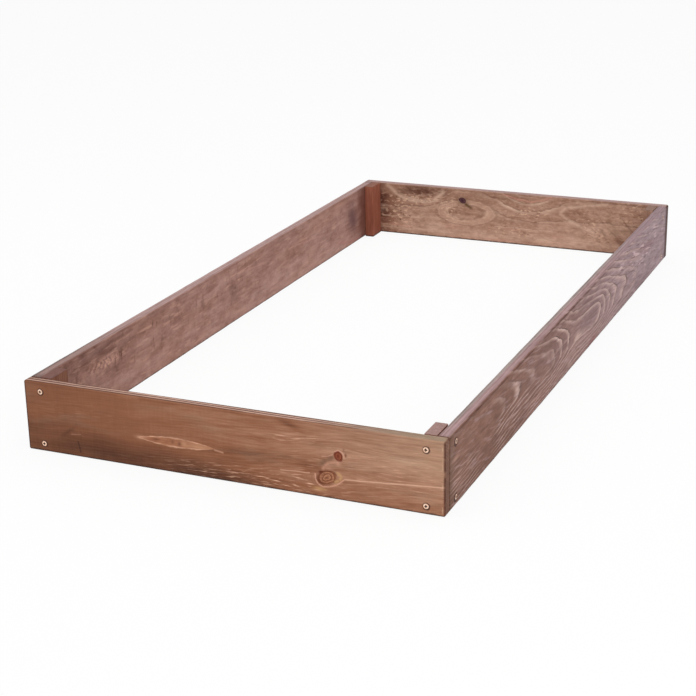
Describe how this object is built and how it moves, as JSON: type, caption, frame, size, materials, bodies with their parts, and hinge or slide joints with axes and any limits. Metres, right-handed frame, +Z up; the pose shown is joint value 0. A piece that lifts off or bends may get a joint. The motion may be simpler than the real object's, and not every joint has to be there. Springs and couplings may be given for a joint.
{
  "type": "raised garden bed",
  "caption": "Low rectangular raised garden bed frame, open top and bottom: stained softwood boards on edge screwed to upright corner battens.",
  "frame": {"origin": "on the ground under the middle of the bed", "axes": "+X along the short end boards to the right, +Y along the long side boards to the back, +Z up"},
  "size_m": [0.9, 1.8, 0.15],
  "materials": {
    "wood_front_end": "brown-stained softwood, orange-brown with pale grain lines and round knots",
    "wood_back_end": "brown-stained softwood, tan-brown with wide pale growth rings and a dark knot",
    "wood_left_side": "brown-stained softwood, mauve-brown",
    "wood_right_side": "brown-stained softwood, grey-brown with pointed growth-ring arches",
    "wood_batten": "brown-stained softwood, reddish brown, upright grain",
    "screw_metal": "yellow-passivated steel, pale brassy"
  },
  "bodies": {
    "root": {"front_end_board": "wood_front_end", "back_end_board": "wood_back_end", "left_side_board": "wood_left_side", "right_side_board": "wood_right_side", "corner_batten_front_left": "wood_batten", "corner_batten_front_right": "wood_batten", "corner_batten_back_left": "wood_batten", "corner_batten_back_right": "wood_batten", "screw_front_left_end_top": "screw_metal", "screw_front_left_end_bottom": "screw_metal", "screw_front_left_side_top": "screw_metal", "screw_front_left_side_bottom": "screw_metal", "screw_front_right_end_top": "screw_metal", "screw_front_right_end_bottom": "screw_metal", "screw_front_right_side_top": "screw_metal", "screw_front_right_side_bottom": "screw_metal", "screw_back_left_end_top": "screw_metal", "screw_back_left_end_bottom": "screw_metal", "screw_back_left_side_top": "screw_metal", "screw_back_left_side_bottom": "screw_metal", "screw_back_right_end_top": "screw_metal", "screw_back_right_end_bottom": "screw_metal", "screw_back_right_side_top": "screw_metal", "screw_back_right_side_bottom": "screw_metal"}
  },
  "joints": []
}
